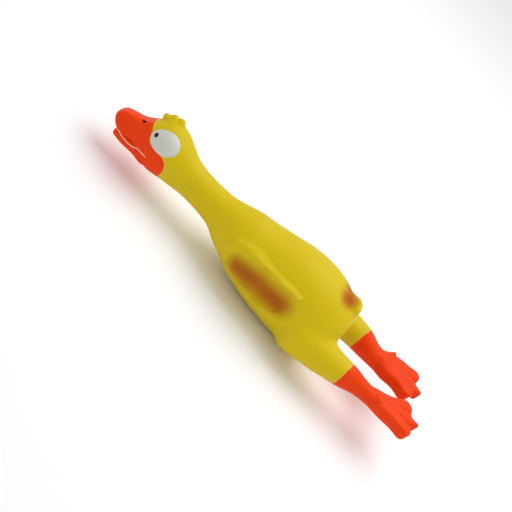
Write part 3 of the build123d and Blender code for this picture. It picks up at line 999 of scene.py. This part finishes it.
for side, sign in (("left", 1), ("right", -1)):
    centre, back, top, normal = eye_axes(sign)
    eye = egg(f"eye_skin_{side}", centre, (back, top, normal), EYE_RADII, EYE_WHITE, taper=EYE_TAPER)
    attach(eye, "head")
    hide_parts(f"eye_{side}")
    u, v = PUPIL
    w = math.sqrt(max(1 - (u / EYE_RADII[0]) ** 2 - (v / EYE_RADII[1]) ** 2, 0)) * EYE_RADII[2]
    spot = centre + back * u + top * v + normal * w
    out = back * (u / EYE_RADII[0] ** 2) + top * (v / EYE_RADII[1] ** 2)
    out = out + normal * (w / EYE_RADII[2] ** 2)
    out.normalize()
    upright = (top - out * top.dot(out)).normalized()
    axes = (upright.cross(out), upright, out)
    pupil = egg(f"pupil_skin_{side}", spot, axes, PUPIL_RADII, PUPIL_BLACK, 16, 32)
    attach(pupil, "head")
    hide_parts(f"pupil_{side}")

# ------------------------------------------------------------------ squeaker, as packed
for node, material in (
    ("squeaker_barrel", PLASTIC),
    ("reed_seat", PLASTIC),
    ("reed_clamp", PLASTIC),
    ("squeaker_reed", BRASS),
):
    shown = bpy.data.objects[node]
    for slot in shown.material_slots:
        slot.link = "OBJECT"
        slot.material = material

# ------------------------------------------------------------------ stage, light and camera
FLOOR_HALF, FLOOR_DROP = 6, 0.0004  # metres
FLOOR_WHITE, FLOOR_DEEP = (0.97, 0.97, 0.97, 1), (0.96, 0.96, 0.96, 1)
WORLD_STRENGTH = 0.69
KEY_PLACE, KEY_AIM, KEY_SIZE, KEY_POWER = (-0.3, 0.2, 1.0), (0, 0, 0.03), 1.1, 6.5
# Camera: degrees round, up and turned; metres to its aim; lens and sensor in millimetres
AZIMUTH, ELEVATION, ROLL = 80, 33, 52.62
DISTANCE, LENS, SENSOR = 0.80, 73, 36
AIM_RIGHT, AIM_UP = -0.0108, 0.0077  # its aim, from the trunk's middle, in the picture's plane

floor_mesh = bpy.data.meshes.new("floor")
floor_corners = [(FLOOR_HALF * x, FLOOR_HALF * y, 0) for x, y in ((-1, -1), (1, -1), (1, 1), (-1, 1))]
floor_mesh.from_pydata(floor_corners, [], [(0, 1, 2, 3)])
floor_mesh.materials.append(plain("floor_white", FLOOR_WHITE, FLOOR_DEEP, 0.8, 0.9))
floor = bpy.data.objects.new("floor", floor_mesh)
floor.location.z = -FLOOR_DROP
bpy.context.collection.objects.link(floor)

world = bpy.data.worlds.new("studio")
bpy.context.scene.world = world
world.use_nodes = True
world.node_tree.nodes["Background"].inputs["Color"].default_value = (1, 1, 1, 1)
world.node_tree.nodes["Background"].inputs["Strength"].default_value = WORLD_STRENGTH


def area_light(name, place, aim, size, power):
    light = bpy.data.lights.new(name, "AREA")
    light.shape = "DISK"
    light.size = size
    light.energy = power
    lamp = bpy.data.objects.new(name, light)
    lamp.location = place
    lamp.rotation_mode = "QUATERNION"
    lamp.rotation_quaternion = (Vector(aim) - Vector(place)).to_track_quat("-Z", "Y")
    bpy.context.collection.objects.link(lamp)


area_light("key", KEY_PLACE, KEY_AIM, KEY_SIZE, KEY_POWER)

azimuth, elevation, roll = math.radians(AZIMUTH), math.radians(ELEVATION), math.radians(ROLL)
right = Vector((math.cos(azimuth), math.sin(azimuth), 0))
back_way = Vector(
    (
        math.sin(azimuth) * math.cos(elevation),
        -math.cos(azimuth) * math.cos(elevation),
        math.sin(elevation),
    )
)
upward = back_way.cross(right)
turned_right = right * math.cos(roll) + upward * math.sin(roll)
turned_up = upward * math.cos(roll) - right * math.sin(roll)
camera_data = bpy.data.cameras.new("camera")
camera_data.sensor_width = SENSOR
camera_data.lens = LENS
camera = bpy.data.objects.new("camera", camera_data)
aim = Vector((0.0, 0.0, AXIS * MM)) + turned_right * AIM_RIGHT + turned_up * AIM_UP
camera.matrix_world = Matrix.Translation(aim + back_way * DISTANCE) @ Matrix(
    (turned_right, turned_up, back_way)
).transposed().to_4x4()
bpy.context.collection.objects.link(camera)
scene = bpy.context.scene
scene.camera = camera
scene.view_settings.view_transform = "Standard"

bpy.context.view_layer.update()
